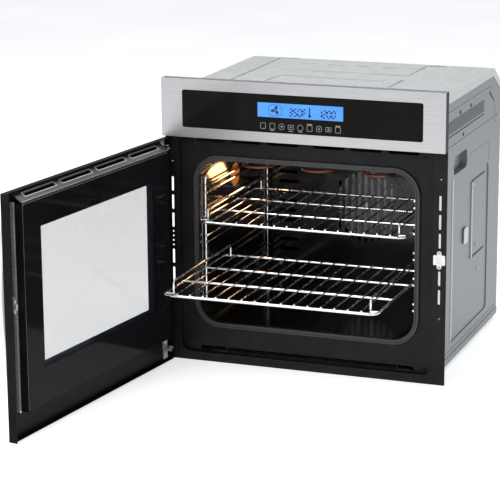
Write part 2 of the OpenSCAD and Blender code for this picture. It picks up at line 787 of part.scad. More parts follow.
ear_x = -half_w + 0.5;
ear_t = 2.5;
ear_w = 22;
ear_screw = ear_x + 16.5;
ear_spread = 0.3;
module hinge_bracket(z1, z2, lug) {
    difference() {
        translate([ear_x, -sheet_t - ear_t, z1]) cube([ear_w, ear_t, z2 - z1]);
        for (s = [-1, 1]) rod_y(ear_screw, -10, 5, (z1 + z2) / 2 + s * (z2 - z1) * ear_spread, 2.05);
    }
    difference() {
        translate([0, 0, lug]) linear_extrude(lug_t) {
            translate([hinge_x, hinge_y]) circle(ear_r);
            translate([hinge_x - 4, hinge_y]) square([8, -sheet_t - hinge_y]);
        }
        rod_z(hinge_x, hinge_y, lug - 1, lug + lug_t + 1, pin_r + 0.02);
    }
}
lower_ear = [z_bot + 2, z_bot + 47];
upper_ear = [door_top - 30, door_top + 3];
module lower_hinge_bracket() color("#b4b6b8") hinge_bracket(lower_ear[0], lower_ear[1], lug_z);
module upper_hinge_bracket() color("#b4b6b8") hinge_bracket(upper_ear[0], upper_ear[1], lug_top);
module hinge_pins() color("#8f9193") {
    rod_z(hinge_x, hinge_y, lug_z - 1.5, lug_z, pin_r + 1.2);
    rod_z(hinge_x, hinge_y, lug_z - e, lug_z + lug_t + leaf_t + 1.5, pin_r);
    rod_z(hinge_x, hinge_y, lug_top + lug_t, lug_top + lug_t + 1.5, pin_r + 1.2);
    rod_z(hinge_x, hinge_y, lug_top - leaf_t - 1.5, lug_top + lug_t + e, pin_r);
}

module catch_plate() color("#d9d9d6") facing(-sheet_t - 3, 3) translate([latch_x, latch_z]) difference() {
    union() {
        rounded(24, 20, 2);
        rounded(9, 2 * catch_screw + 8, 4);
    }
    rounded(9, 13, 2);
    for (s = [-1, 1]) translate([0, s * catch_screw]) circle(1.7);
}

module frame_screws() color("#8a8c8e") {
    both() for (z = plug[1]) screw_front(plug[0], recess_y, z, 2, 8);
    for (b = [lower_ear, upper_ear], s = [-1, 1])
        screw_front(ear_screw, -sheet_t - ear_t, (b[0] + b[1]) / 2 + s * (b[1] - b[0]) * ear_spread, 2, 2.5);
    for (s = [-1, 1]) screw_front(latch_x, -sheet_t - 3, latch_z + s * catch_screw, 1.65, 8);
}

// short screws whose heads lie on the outside of the panels
module body_screws() color("#8a8c8e") {
    for (z = [0.35, 0.6, 0.8]) both() translate([half_b - panel_t, side_back - 9, body_h * z])
        rotate([0, 90, 0]) cylinder(h = 0.9, r = 4);
    for (x = [-0.42, 0, 0.42]) translate([x * body_w, side_back - back_cut[0] - 22, body_h])
        cylinder(h = 1.6, r = 4);
}

// ---------- door ----------

module door_outer_panel() color("#c9cacc") on_door() difference() {
    union() {
        translate([-half_w, face_y, z_bot]) cube([front_w, sheet_t, door_top - z_bot]);
        translate([-half_w, face_y, z_bot]) cube([sheet_t, 12, door_top - z_bot]);
        translate([half_w - sheet_t, face_y, z_bot]) cube([sheet_t, 18, door_top - z_bot]);
        for (z = [z_bot, door_top - sheet_t])
            translate([-half_w, face_y, z]) cube([front_w, 12, sheet_t]);
    }
    facing(face_y - 1, 5) translate([0, window_z]) rounded(window_w + 26, window_h + 30, 8);
    for (z = [lug_z, lug_top]) translate([-half_w - 1, face_y + sheet_t, z - 3]) cube([4, 20, lug_t + 6]);
    for (s = [-1, 1]) rod_y(handle_x, face_y - 1, face_y + 5, handle_z + s * post_off, 2.6);
}

module pane(y, w, h, r) {
    facing(y, glass_t) translate([0, window_z]) rounded(w, h, r);
}
module door_outer_glass() color("#15171b") on_door()
    pane(face_y + sheet_t, window_w + 44, window_h + 50, 6);
pane_w = box_w - 2 * sheet_t - 2 * gap;
module door_mid_glass() color("#20242a") on_door()
    pane(door_back - 2 * glass_t - 3.4, pane_w, window_h + 50, 4);
inner_z = [box_z + 3, box_top - 3];
module door_inner_glass() color("#111216") on_door() facing(door_back - glass_t, glass_t)
    translate([0, (inner_z[0] + inner_z[1]) / 2]) rounded(pane_w, inner_z[1] - inner_z[0], 5);

// the folded channels down both sides of the inner frame
module door_side_rails() color("#1b1c1f") on_door() both() difference() {
    d = door_back - box_front;
    translate([box_w / 2 - rail_w, box_front, box_z]) cube([rail_w, d, box_top - 2 - box_z]);
    translate([box_w / 2 - rail_w - 1, box_front + sheet_t, box_z - 1])
        cube([rail_w - sheet_t + 1, d, box_top - box_z + 2]);
}
module door_bottom_rail() color("#1b1c1f") on_door() {
    w = box_w - 2 * rail_w - 2 * gap;
    translate([-w / 2, box_front, box_z]) cube([w, door_back - glass_t - box_front - gap, sheet_t]);
    translate([-w / 2, box_front, box_z]) cube([w, sheet_t, 16]);
}
// the sloping strip along the top, with four long air slots
module door_top_vent() color("#3a3b3e") on_door() difference() {
    y1 = face_y + sheet_t;
    sideways(-box_w / 2, box_w) polygon([[y1, door_top - 5], [y1, door_top - 6.6],
        [door_back - 1.2, box_top - 1.6 + gap * 2], [door_back, box_top + gap * 2],
        [door_back, box_top + gap * 2 + 1]]);
    for (i = [-1.5:1.5])
        translate([i * (box_w - 28) / 4 - 52, face_y + 8, box_top - 2]) cube([104, 8, 30]);
}

// the bar is an arc that stands out further in its middle than at its ends
handle_bow = 18;
arc_r = (pow(handle_l / 2, 2) + pow(handle_bow, 2)) / (2 * handle_bow);
post_off = handle_l / 2 - 14;
post_y = face_y - handle_out + arc_r - sqrt(pow(arc_r, 2) - pow(post_off, 2)) + handle_r / 2;
module handle_post(s) {
    rod_y(handle_x, post_y, face_y, handle_z + s * post_off, 6);
}
module door_handle() color("#d2d3d5") on_door() difference() {
    a = asin(handle_l / 2 / arc_r);
    translate([handle_x, face_y - handle_out + arc_r, handle_z]) rotate([90, 0, 90])
        rotate([0, 0, 180 - a]) rotate_extrude(angle = 2 * a, $fn = 360)
            translate([arc_r, 0]) circle(handle_r, $fn = 48);
    for (s = [-1, 1]) handle_post(s);
}
module handle_posts() color("#b9babc") on_door() for (s = [-1, 1]) {
    z = handle_z + s * post_off;
    handle_post(s);
    rod_y(handle_x, face_y - e, face_y + 4.4, z, 2.5);
    rod_y(handle_x, face_y + sheet_t, face_y + 4.4, z, 5);
}

leaf_w = 21;
module leaf(z, plate_z) {
    y = face_y + sheet_t;
    difference() {
        union() {
            translate([0, 0, z]) linear_extrude(leaf_t) {
                translate([hinge_x, hinge_y]) circle(ear_r + 0.5);
                translate([hinge_x, y]) square([leaf_w, hinge_y + ear_r - y]);
            }
            translate([hinge_x + 5, y, plate_z]) cube([leaf_w - 5, 3, 45]);
        }
        rod_z(hinge_x, hinge_y, z - 1, z + leaf_t + 1, bush_r);
    }
}
lower_leaf = lug_z + lug_t + 0.4;
upper_leaf = lug_top - 0.4 - leaf_t;
module hinge_leaves() color("#b4b6b8") on_door() {
    leaf(lower_leaf, z_bot + 4);
    leaf(upper_leaf, door_top - 49);
}
module hinge_bushes() color("#e9e6da") on_door() for (z = [lower_leaf, upper_leaf]) difference() {
    rod_z(hinge_x, hinge_y, z, z + leaf_t, bush_r);
    rod_z(hinge_x, hinge_y, z - 1, z + leaf_t + 1, pin_r + run_gap);
}
module door_strike() color("#9b9da0") on_door() {
    translate([latch_x - 12, face_y + sheet_t, latch_z - 14]) cube([20, 2, 28]);
    translate([latch_x - 3, face_y + sheet_t, latch_z - 13]) cube([6, door_proud - 2 * sheet_t - 5, 26]);
    translate([latch_x - 3, face_y + sheet_t, latch_z - 5]) cube([6, door_proud - 3 * sheet_t, 10]);
}

base_pan();
left_side_panel();
right_side_panel();
top_cover();
rear_panel();
grip_cups();
front_frame();
control_fascia();
control_glass();
control_housing();
display_module();
control_board();
cavity_liner();
cavity_supports();
mouth_gasket();
insulation_wrap();
fan_baffle();
baffle_spacers();
ring_element();
broil_element();
broil_brackets();
bake_element();
fan_motor();
air_duct();
duct_cover();
blower_motor();
power_board();
lamp_housing();
lamp_bulb();
lamp_lens();
temperature_probe();
thermal_cutout();
left_rack_support();
right_rack_support();
catch_plate();
upper_hinge_bracket();
lower_hinge_bracket();
hinge_pins();
frame_screws();
body_screws();
terminal_box();
conduit_gland();
wiring_loom();
convection_fan();
fan_nut();
blower_wheel();
lower_rack();
upper_rack();
door_outer_panel();
door_outer_glass();
door_side_rails();
door_top_vent();
door_bottom_rail();
door_mid_glass();
door_inner_glass();
door_handle();
handle_posts();
hinge_leaves();
hinge_bushes();
door_strike();
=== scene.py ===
"""The looks of a built-in wall oven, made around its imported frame.

Metres, +X to the right, +Y back into the cabinet, +Z up. Door pieces are shaped with the door closed and then
swung open.
"""
from functools import cache
import json
import math

import bmesh
import bpy
from mathutils import Matrix, Vector


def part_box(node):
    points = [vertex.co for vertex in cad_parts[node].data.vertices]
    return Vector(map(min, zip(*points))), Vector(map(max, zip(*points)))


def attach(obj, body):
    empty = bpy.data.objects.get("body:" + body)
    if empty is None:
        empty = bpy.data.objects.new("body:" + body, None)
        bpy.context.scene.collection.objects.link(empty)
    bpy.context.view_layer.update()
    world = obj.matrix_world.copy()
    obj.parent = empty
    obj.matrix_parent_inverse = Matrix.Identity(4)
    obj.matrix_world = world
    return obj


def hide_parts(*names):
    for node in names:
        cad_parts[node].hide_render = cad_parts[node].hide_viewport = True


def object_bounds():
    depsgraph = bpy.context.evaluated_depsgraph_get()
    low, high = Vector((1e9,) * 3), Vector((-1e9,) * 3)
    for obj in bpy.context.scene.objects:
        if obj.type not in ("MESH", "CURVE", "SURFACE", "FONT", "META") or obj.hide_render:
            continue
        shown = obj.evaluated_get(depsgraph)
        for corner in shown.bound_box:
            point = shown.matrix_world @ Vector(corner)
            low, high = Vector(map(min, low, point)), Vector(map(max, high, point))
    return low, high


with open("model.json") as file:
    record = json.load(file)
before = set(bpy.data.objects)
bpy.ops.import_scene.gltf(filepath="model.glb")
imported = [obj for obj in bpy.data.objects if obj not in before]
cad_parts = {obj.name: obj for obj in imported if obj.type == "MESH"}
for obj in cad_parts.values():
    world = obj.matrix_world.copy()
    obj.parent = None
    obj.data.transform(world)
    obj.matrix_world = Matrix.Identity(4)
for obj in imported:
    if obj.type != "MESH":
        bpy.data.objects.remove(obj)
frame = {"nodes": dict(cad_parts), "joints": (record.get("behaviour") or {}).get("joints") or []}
cad_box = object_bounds()

NODES = frame["nodes"]
MM = 0.001
ALONG = 0.9
CREASE = math.radians(32)
SHARP = math.radians(35)
SWING = {j["name"]: j for j in frame["joints"]}["door_swing"]
HINGE = Vector(SWING["pos_m"])
OPEN = math.radians(-SWING["range_deg"][0])
TO_OPEN = Matrix.Translation(HINGE) @ Matrix.Rotation(-OPEN, 4, "Z") @ Matrix.Translation(-HINGE)
TO_CLOSED = TO_OPEN.inverted()


# ---------- materials ----------

def coordinates(tree, stretch, turn):
    """Object coordinates, stretched and turned about Z."""
    source = tree.nodes.new("ShaderNodeTexCoord")
    mapping = tree.nodes.new("ShaderNodeMapping")
    mapping.inputs["Scale"].default_value = stretch
    turned = tree.nodes.new("ShaderNodeMapping")
    turned.inputs["Rotation"].default_value = (0, 0, turn)
    tree.links.new(source.outputs["Object"], turned.inputs["Vector"])
    tree.links.new(turned.outputs["Vector"], mapping.inputs["Vector"])
    return mapping.outputs["Vector"]


def cloud(tree, at, scale, detail=4.0):
    noise = tree.nodes.new("ShaderNodeTexNoise")
    noise.inputs["Scale"].default_value = scale
    noise.inputs["Detail"].default_value = detail
    tree.links.new(at, noise.inputs["Vector"])
    return noise.outputs["Fac"]


def spangle(tree, at, scale):
    cells = tree.nodes.new("ShaderNodeTexVoronoi")
    cells.inputs["Scale"].default_value = scale
    tree.links.new(at, cells.inputs["Vector"])
    mono = tree.nodes.new("ShaderNodeRGBToBW")
    tree.links.new(cells.outputs["Color"], mono.inputs["Color"])
    return mono.outputs["Val"]


def fleck(tree, at, scale):
    cells = tree.nodes.new("ShaderNodeTexVoronoi")
    cells.inputs["Scale"].default_value = scale
    tree.links.new(at, cells.inputs["Vector"])
    return spread(tree, cells.outputs["Distance"], 1.0, 0.0, 0.02, 0.16)


def strands(tree, at, scale):
    wave = tree.nodes.new("ShaderNodeTexWave")
    wave.inputs["Scale"].default_value = scale
    wave.inputs["Distortion"].default_value = 1.5
    tree.links.new(at, wave.inputs["Vector"])
    return wave.outputs["Fac"]


def spread(tree, value, low, high, start=0.0, end=1.0):
    limits = tree.nodes.new("ShaderNodeMapRange")
    for socket, number in zip(("From Min", "From Max", "To Min", "To Max"), (start, end, low, high)):
        limits.inputs[socket].default_value = number
    tree.links.new(value, limits.inputs["Value"])
    return limits.outputs["Result"]


def shades(tree, value, dark, light, start=0.3, end=0.7):
    ramp = tree.nodes.new("ShaderNodeValToRGB")
    first, last = ramp.color_ramp.elements
    first.position, last.position = start, end
    first.color, last.color = (*dark, 1), (*light, 1)
    tree.links.new(value, ramp.inputs["Fac"])
    return ramp.outputs["Color"]


def finish(name, dark, light, rough, metal=0.0, pattern=cloud, scale=40.0, stretch=(1, 1, 1), turn=0.0,
           grain=None, glow=0.0, **sockets):
    """A material whose colour and roughness vary over a pattern, with a grain of (scale, height in mm)."""
    material = bpy.data.materials.new(name)
    material.use_nodes = True
    tree = material.node_tree
    shader = tree.nodes["Principled BSDF"]
    at = coordinates(tree, stretch, turn)
    value = pattern(tree, at, scale)
    colour = shades(tree, value, dark, light)
    tree.links.new(colour, shader.inputs["Base Color"])
    tree.links.new(spread(tree, value, *rough), shader.inputs["Roughness"])
    shader.inputs["Metallic"].default_value = metal
    if glow:
        tree.links.new(colour, shader.inputs["Emission Color"])
        shader.inputs["Emission Strength"].default_value = glow
    if grain:
        bump = tree.nodes.new("ShaderNodeBump")
        bump.inputs["Distance"].default_value = grain[1] * MM
        tree.links.new(cloud(tree, at, grain[0], 6.0), bump.inputs["Height"])
        tree.links.new(bump.outputs["Normal"], shader.inputs["Normal"])
    for socket, number in sockets.items():
        shader.inputs[socket.replace("_", " ")].default_value = number
    material.diffuse_color = (*light, 1)
    return material


BRUSH = (1.5, 90, 90)


# Painted light: the same steel as the sides, coloured lighter for the lit roof; also the painted highlight of
# the side folds.
@cache
def lit_steel_paint():
    return finish("sheet steel with painted light", (0.53, 0.54, 0.53), (0.57, 0.58, 0.565), (0.40, 0.48), 0.3, spangle,
                  90, grain=(60, 0.01))


# Galvanised sheet coloured darker than the roof's copy of the same steel: painted shade of the sides, used
# for all the body's galvanised sheets.
@cache
def shade_darkened_galvanised():
    return finish("galvanised sheet", (0.175, 0.19, 0.194), (0.205, 0.22, 0.224), (0.36, 0.44), 0.3,
                  spangle, 90, grain=(60, 0.01))


# Painted shade: the roof's folds coloured darker than the roof, standing for the shadow lines along them.
@cache
def fold_shade_paint():
    return finish("roof folds with painted shade", (0.33, 0.34, 0.335), (0.37, 0.38, 0.375), (0.42, 0.5), 0.2,
                  spangle, 90, grain=(60, 0.01))


@cache
def screen():
    return finish("perforated screen", (0.05, 0.052, 0.052), (0.19, 0.195, 0.195), (0.45, 0.55), 0.3, fleck,
                  240, grain=(300, 0.05))


@cache
def brushed():
    return finish("brushed stainless", (0.42, 0.42, 0.425), (0.51, 0.51, 0.515), (0.26, 0.36), 0.95,
                  scale=9, stretch=BRUSH, grain=(14, 0.02))


@cache
def door_brushed():
    return finish("brushed door stainless", (0.42, 0.42, 0.425), (0.51, 0.51, 0.515), (0.26, 0.36), 0.95,
                  scale=9, stretch=BRUSH, turn=OPEN, grain=(14, 0.02))


@cache
def bar_steel():
    return finish("satin bar stainless", (0.55, 0.55, 0.56), (0.68, 0.68, 0.69), (0.2, 0.3), 0.95, scale=9,
                  stretch=(90, 90, 3), grain=(10, 0.02))


@cache
def charcoal():
    return finish("charcoal enamel", (0.006, 0.006, 0.007), (0.011, 0.011, 0.012), (0.26, 0.36), scale=25,
                  grain=(420, 0.015), Specular_IOR_Level=0.13)


@cache
def cavity():
    return finish("flecked cavity enamel", (0.004, 0.0035, 0.003), (0.018, 0.016, 0.014), (0.12, 0.18),
                  pattern=fleck, scale=520, grain=(90, 0.006), Specular_IOR_Level=0.45)


@cache
def black_glass():
    return finish("black control glass", (0.006, 0.006, 0.005), (0.009, 0.009, 0.008), (0.05, 0.08),
                  scale=6, Specular_IOR_Level=0.03)


@cache
def frit():
    return finish("black printed border", (0.006, 0.005, 0.006), (0.009, 0.008, 0.009), (0.06, 0.1),
                  scale=6, grain=(900, 0.002), Specular_IOR_Level=0.05)


@cache
def blue_frit():
    return finish("blue-black printed border", (0.006, 0.012, 0.055), (0.009, 0.018, 0.075), (0.08, 0.12),
                  scale=6, Specular_IOR_Level=0.05)


@cache
def clear():
    return finish("clear door glass", (0.03, 0.04, 0.04), (0.05, 0.06, 0.06), (0.02, 0.05), scale=3,
                  Alpha=0.115, Specular_IOR_Level=0.2)


@cache
def glass_edge():
    return finish("ground glass edge", (0.42, 0.43, 0.42), (0.55, 0.56, 0.55), (0.3, 0.45), scale=80,
                  grain=(600, 0.02))


@cache
def door_black():
    return finish("black inner door paint", (0.005, 0.005, 0.006), (0.009, 0.009, 0.010), (0.3, 0.42),
                  scale=18, grain=(500, 0.02), Specular_IOR_Level=0.05)


@cache
def vent_metal():
    return finish("bronzed vent strip", (0.09, 0.086, 0.076), (0.17, 0.165, 0.15), (0.25, 0.36), 0.8,
                  scale=30, stretch=(4, 60, 60), turn=OPEN, grain=(90, 0.02))


@cache
def gasket_sleeve():
    return finish("woven seal sleeve", (0.02, 0.021, 0.021), (0.055, 0.056, 0.056), (0.3, 0.42), 0.4,
                  pattern=strands, scale=260, grain=(700, 0.1))


# The seal's lips coloured light: a painted highlight along the round beads of the dark seal.
@cache
def seal_highlight_paint():
    return finish("seal lips with painted highlight", (0.16, 0.16, 0.155), (0.28, 0.28, 0.27), (0.28, 0.4), 0.5,
                  pattern=strands, scale=260, grain=(700, 0.1))


@cache
def wool():
    return finish("mineral wool", (0.42, 0.33, 0.14), (0.62, 0.54, 0.30), (0.85, 0.98), scale=70,
                  stretch=(1, 1, 4), grain=(260, 1.2))


@cache
def chrome():
    return finish("bright chrome wire", (0.70, 0.70, 0.71), (0.86, 0.86, 0.87), (0.06, 0.14), 1.0, scale=55,
                  grain=(180, 0.02))


# Heat-tinted brown, made redder with a painted warm glow of the oven lamp on the broil tubes.
@cache
def broil_sheath():
    return finish("broil sheath with heat tint and painted lamp glow", (0.16, 0.045, 0.025), (0.34, 0.13, 0.08), (0.35, 0.55), 0.6,
                  scale=45, grain=(300, 0.05))


@cache
def element_sheath():
    return finish("heat-tinted sheath", (0.06, 0.04, 0.03), (0.17, 0.10, 0.07), (0.4, 0.6), 0.6, scale=45,
                  grain=(300, 0.05))


@cache
def zinc():
    return finish("zinc plate", (0.46, 0.46, 0.44), (0.62, 0.62, 0.60), (0.3, 0.45), 0.6, spangle, 300,
                  grain=(200, 0.02))


@cache
def light_metal():
    return finish("bright catch plate", (0.68, 0.68, 0.66), (0.78, 0.78, 0.76), (0.35, 0.5), 0.3, scale=60,
                  grain=(250, 0.03))


@cache
def light_plastic():
    return finish("light moulded plastic", (0.62, 0.61, 0.58), (0.70, 0.69, 0.66), (0.4, 0.55), scale=50,
                  grain=(500, 0.03))


@cache
def dark_plastic():
    return finish("dark moulded plastic", (0.018, 0.018, 0.02), (0.03, 0.03, 0.034), (0.45, 0.6), scale=60,
                  grain=(900, 0.06))


@cache
def fan_metal():
    return finish("pressed fan metal", (0.42, 0.42, 0.42), (0.58, 0.58, 0.58), (0.28, 0.42), 0.9, scale=30,
                  grain=(160, 0.03))


@cache
def motor_paint():
    return finish("motor casing paint", (0.05, 0.052, 0.06), (0.08, 0.083, 0.09), (0.4, 0.55), 0.4,
                  scale=50, grain=(400, 0.08))


@cache
def board_green():
    return finish("solder mask", (0.01, 0.09, 0.045), (0.02, 0.16, 0.08), (0.3, 0.45), pattern=spangle,
                  scale=400, grain=(500, 0.05))


@cache
def lamp_glass():
    return finish("lamp glass", (0.16, 0.085, 0.03), (0.24, 0.14, 0.06), (0.12, 0.2), pattern=strands,
                  scale=90, Alpha=0.8)


@cache
def lamp_glow():
    return finish("lit lamp", (1.0, 0.5, 0.16), (1.0, 0.62, 0.28), (0.3, 0.4), scale=40, glow=2.0)


@cache
def sleeve():
    return finish("woven loom sleeve", (0.012, 0.012, 0.014), (0.05, 0.05, 0.055), (0.6, 0.8),
                  pattern=strands, scale=420, grain=(900, 0.3))


@cache
def lcd_blue():
    return finish("backlit blue panel", (0.045, 0.18, 0.50), (0.058, 0.205, 0.56), (0.25, 0.35), scale=22,
                  glow=0.8, Specular_IOR_Level=0.2)


@cache
def lcd_ink():
    return finish("dark display ink", (0.0, 0.008, 0.08), (0.002, 0.014, 0.11), (0.4, 0.5), scale=60,
                  glow=0.25)


@cache
def icon_print():
    return finish("pale printed icons", (0.24, 0.25, 0.26), (0.34, 0.35, 0.36), (0.4, 0.5), scale=90,
                  glow=0.35)


@cache
def icon_warm():
    return finish("warm printed icons", (0.42, 0.30, 0.14), (0.50, 0.38, 0.20), (0.4, 0.5), scale=90,
                  glow=0.35)


@cache
def floor_paint():
    return finish("pale studio floor", (0.86, 0.86, 0.86), (0.9, 0.9, 0.9), (0.7, 0.8), scale=2, glow=0.62)


CARRIED = {
    cavity: ["cavity_liner"],
    shade_darkened_galvanised: ["cavity_supports", "air_duct", "duct_cover"],
    wool: ["insulation_wrap"],
    chrome: ["left_rack_support", "right_rack_support", "lower_rack", "upper_rack", "temperature_probe"],
    broil_sheath: ["broil_element"],
    element_sheath: ["ring_element", "bake_element"],
    zinc: ["baffle_spacers", "hinge_pins", "lamp_housing", "fan_nut"],
    light_plastic: ["hinge_bushes", "thermal_cutout"],
    dark_plastic: ["control_housing", "conduit_gland"],
    fan_metal: ["convection_fan", "blower_wheel"],
    motor_paint: ["fan_motor", "blower_motor"],
    board_green: ["control_board", "power_board"],
    lamp_glow: ["lamp_bulb"],
    lamp_glass: ["lamp_lens"],
    sleeve: ["wiring_loom"],
    lcd_ink: ["display_module"],
    bar_steel: ["handle_posts"],
}


def dress_nodes():
    """Gives their finish to the nodes that are shown as they are."""
    for material, nodes in CARRIED.items():
        for node in nodes:
            NODES[node].data.materials.clear()
            NODES[node].data.materials.append(material())


# ---------- shaping by hand ----------

def only(obj):
    bpy.ops.object.select_all(action="DESELECT")
    obj.select_set(True)
    bpy.context.view_layer.objects.active = obj


def settle(obj):
    """Puts the object's place into its mesh."""
    only(obj)
    bpy.ops.object.transform_apply(location=True, rotation=True, scale=True)
    return obj


def block(name, low, high):
    """A block between two corners, ready to be shaped."""
    low, high = Vector(low), Vector(high)
    bpy.ops.object.select_all(action="DESELECT")
    bpy.ops.mesh.primitive_cube_add(size=1, location=(low + high) / 2, scale=high - low)
    obj = bpy.context.object
    obj.name = name
    return settle(obj)


def pick(obj, kind, test):
    """In edit mode, selects the faces, edges or vertices that pass a test."""
    bpy.ops.mesh.select_mode(type=kind)
    mesh = bmesh.from_edit_mesh(obj.data)
    for part in list(mesh.verts) + list(mesh.edges) + list(mesh.faces):
        part.select_set(False)
    group = {"VERT": mesh.verts, "EDGE": mesh.edges, "FACE": mesh.faces}[kind]
    for part in group:
        if test(part):
            part.select_set(True)
    bmesh.update_edit_mesh(obj.data)


def edge_way(edge):
    return (edge.verts[1].co - edge.verts[0].co).normalized()


def round_corners(obj, axis, radius, segments):
    """Bevels the edges that run along an axis."""
    only(obj)
    bpy.ops.object.mode_set(mode="EDIT")
    pick(obj, "EDGE", lambda edge: abs(edge_way(edge)[axis]) > ALONG)
    bpy.ops.mesh.bevel(offset=radius, segments=segments, affect="EDGES")
    bpy.ops.object.mode_set(mode="OBJECT")
    return obj


def apply(obj, kind, **settings):
    only(obj)
    modifier = obj.modifiers.new(kind.lower(), kind)
    for key, value in settings.items():
        setattr(modifier, key, value)
    bpy.ops.object.modifier_apply(modifier=modifier.name)


def soften(obj, width):
    """Rounds the sharp edges and shades the rest flat."""
    apply(obj, "BEVEL", width=width * MM, segments=2, limit_method="ANGLE", angle_limit=SHARP,
          harden_normals=False)
    only(obj)
    bpy.ops.object.shade_smooth_by_angle(angle=CREASE)
    apply(obj, "WEIGHTED_NORMAL", keep_sharp=True)


def joined(name, pieces):
    only(pieces[0])
    for piece in pieces:
        piece.select_set(True)
    if len(pieces) > 1:
        bpy.ops.object.join()
    obj = bpy.context.object
    obj.name = name
    return obj


def done(obj, body, slot, materials, *nodes):
    """A finished piece: its finish, the body that it rides on and the nodes that it stands for."""
    if not obj.data.materials:
        for material in materials:
            obj.data.materials.append(material)
    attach(obj, body)
    if nodes:
        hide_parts(*nodes)
    return obj


def twin(node, name):
    """A copy of a node's shape with its faces joined up."""
    obj = bpy.data.objects.new(name, NODES[node].data.copy())
    bpy.context.scene.collection.objects.link(obj)
    obj.data.materials.clear()
    only(obj)
    bpy.ops.mesh.customdata_custom_splitnormals_clear()
    bpy.ops.object.mode_set(mode="EDIT")
    bpy.ops.mesh.select_all(action="SELECT")
    bpy.ops.mesh.remove_doubles(threshold=0.004 * MM)
    bpy.ops.mesh.dissolve_limited(angle_limit=math.radians(0.6))
    bpy.ops.object.mode_set(mode="OBJECT")
    return obj


def sheet_metal(node, name, width, body, slot, material):
    """A node with its edges softened as folded sheet."""
    obj = twin(node, name)
    soften(obj, width)
    return done(obj, body, slot, [material], node)


def corners(points):
    """The lowest and the highest corner of some points."""
    return (Vector([min(p[i] for p in points) for i in range(3)]),
            Vector([max(p[i] for p in points) for i in range(3)]))


def closed_box(node):
    """The box of a door node with the door closed."""
    return corners([TO_CLOSED @ v.co for v in NODES[node].data.vertices])


def swing_open(obj):
    obj.data.transform(TO_OPEN)
    return obj


# ---------- body ----------

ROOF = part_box("top_cover")[1].z
ROOF_SLOTS = ((-189, 450), (153, 437))
ROOF_RIBS = (
    [(-208, 120), (-208, 440)],
    [(-154, 296), (128, 298), (130, 430)],
    [(-136, 150), (-126, 225), (100, 214)],
    [(130, 150), (133, 239)])
RIB_WIDTH = 7
PANEL_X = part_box("right_side_panel")[1].x


def body_sheets():
    """The plain panels of the body."""
    for node, name, width in (
            ("base_pan", "base_tray", 0.3), ("left_side_panel", "left_side_sheet", 0.35),
            ("right_side_panel", "right_side_sheet", 0.35),
            ("rear_panel", "rear_sheet", 0.3), ("grip_cups", "grip_pockets", 0.3)):
        sheet_metal(node, name, width, "cabinet", "galvanised_steel", shade_darkened_galvanised())


def roof_sheet():
    """The roof, with its two short slots cut through."""
    obj = twin("top_cover", "roof_sheet")
    reach = Vector((19, 4, 5)) * MM
    for x, y in ROOF_SLOTS:
        middle = Vector((x * MM, y * MM, ROOF))
        cutter = block("cutter", middle - reach, middle + reach)
        apply(obj, "BOOLEAN", operation="DIFFERENCE", object=cutter, solver="EXACT")
        bpy.data.objects.remove(cutter)
    soften(obj, 0.35)
    done(obj, "cabinet", "galvanised_steel", [lit_steel_paint()], "top_cover")


def roof_slot_shade_sheet():
    """The dark sheet under the slots of the roof: painted shade seen through them."""
    low = (-230 * MM, 380 * MM, ROOF - 7 * MM)
    high = (230 * MM, 448 * MM, ROOF - 6.6 * MM)
    done(block("roof_slot_shade_sheet", low, high), "cabinet", "dark_plastic", [dark_plastic()])


def front_frame():
    sheet_metal("front_frame", "front_frame_pressing", 0.4, "cabinet", "charcoal_enamel", charcoal())


def fascia():
    """The brushed plate of the controls, black on its two ends."""
    obj = sheet_metal("control_fascia", "fascia_plate", 0.5, "cabinet", "stainless_steel", brushed())
    obj.data.materials.append(door_black())
    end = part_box("control_fascia")[1].x - 0.2 * MM
    for polygon in obj.data.polygons:
        if abs(polygon.center.x) > end and abs(polygon.normal.x) > ALONG:
            polygon.material_index = 1


def body_fittings():
    """The small pressed pieces of the body."""
    for node, name, width, slot, material in (
            ("fan_baffle", "fan_cover_plate", 0.3, "cavity_enamel", cavity()),
            ("catch_plate", "door_catch", 0.4, "zinc_plate", light_metal()),
            ("lower_hinge_bracket", "lower_hinge_plate", 0.4, "zinc_plate", charcoal()),
            ("upper_hinge_bracket", "upper_hinge_plate", 0.4, "zinc_plate", charcoal()),
            ("broil_brackets", "broil_hangers", 0.2, "cavity_enamel", cavity()),
            ("terminal_box", "supply_box", 0.6, "dark_plastic", dark_plastic())):
        sheet_metal(node, name, width, "cabinet", slot, material)


def latch_insert():
    """The bright block behind the opening of the catch."""
    low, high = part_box("catch_plate")
    middle = (low + high) / 2
    insert = block("latch_insert", (middle.x - 4.4 * MM, high.y - 1.1 * MM, middle.z - 6.4 * MM),
                   (middle.x + 4.4 * MM, high.y - 0.05 * MM, middle.z + 6.4 * MM))
    done(insert, "cabinet", "light_plastic", [light_metal()])


def bead(points, width):
    """A pressed rib with soft ends along a line of points."""
    curve = bpy.data.curves.new("rib", "CURVE")
    curve.dimensions = "3D"
    line = curve.splines.new("POLY")
    line.points.add(len(points) - 1)
    for point, place in zip(line.points, points):
        point.co = (*place, 1)
    curve.bevel_depth = width / 2 * MM
    curve.bevel_resolution = 3
    curve.use_fill_caps = True
    obj = bpy.data.objects.new("rib", curve)
    bpy.context.scene.collection.objects.link(obj)
    only(obj)
    bpy.ops.object.convert(target="MESH")
    return bpy.context.object


def flatten(obj, axis, level, ratio):
    """Presses a bead towards the sheet that it stands on."""
    for vertex in obj.data.vertices:
        vertex.co[axis] = level + (vertex.co[axis] - level) * ratio
    return obj


def roof_bead(points):
    return flatten(bead([(x * MM, y * MM, ROOF) for x, y in points], RIB_WIDTH), 2, ROOF, 0.36)


def roof_ribs():
    ribs = joined("roof_ribs", [roof_bead(points) for points in ROOF_RIBS])
    bpy.ops.object.shade_smooth()
    # The ribs take the darker fold colour: painted shade along the roof's folds.
    done(ribs, "cabinet", "galvanised_steel", [fold_shade_paint()])


# ---------- side panels: places are y and z in millimetres ----------

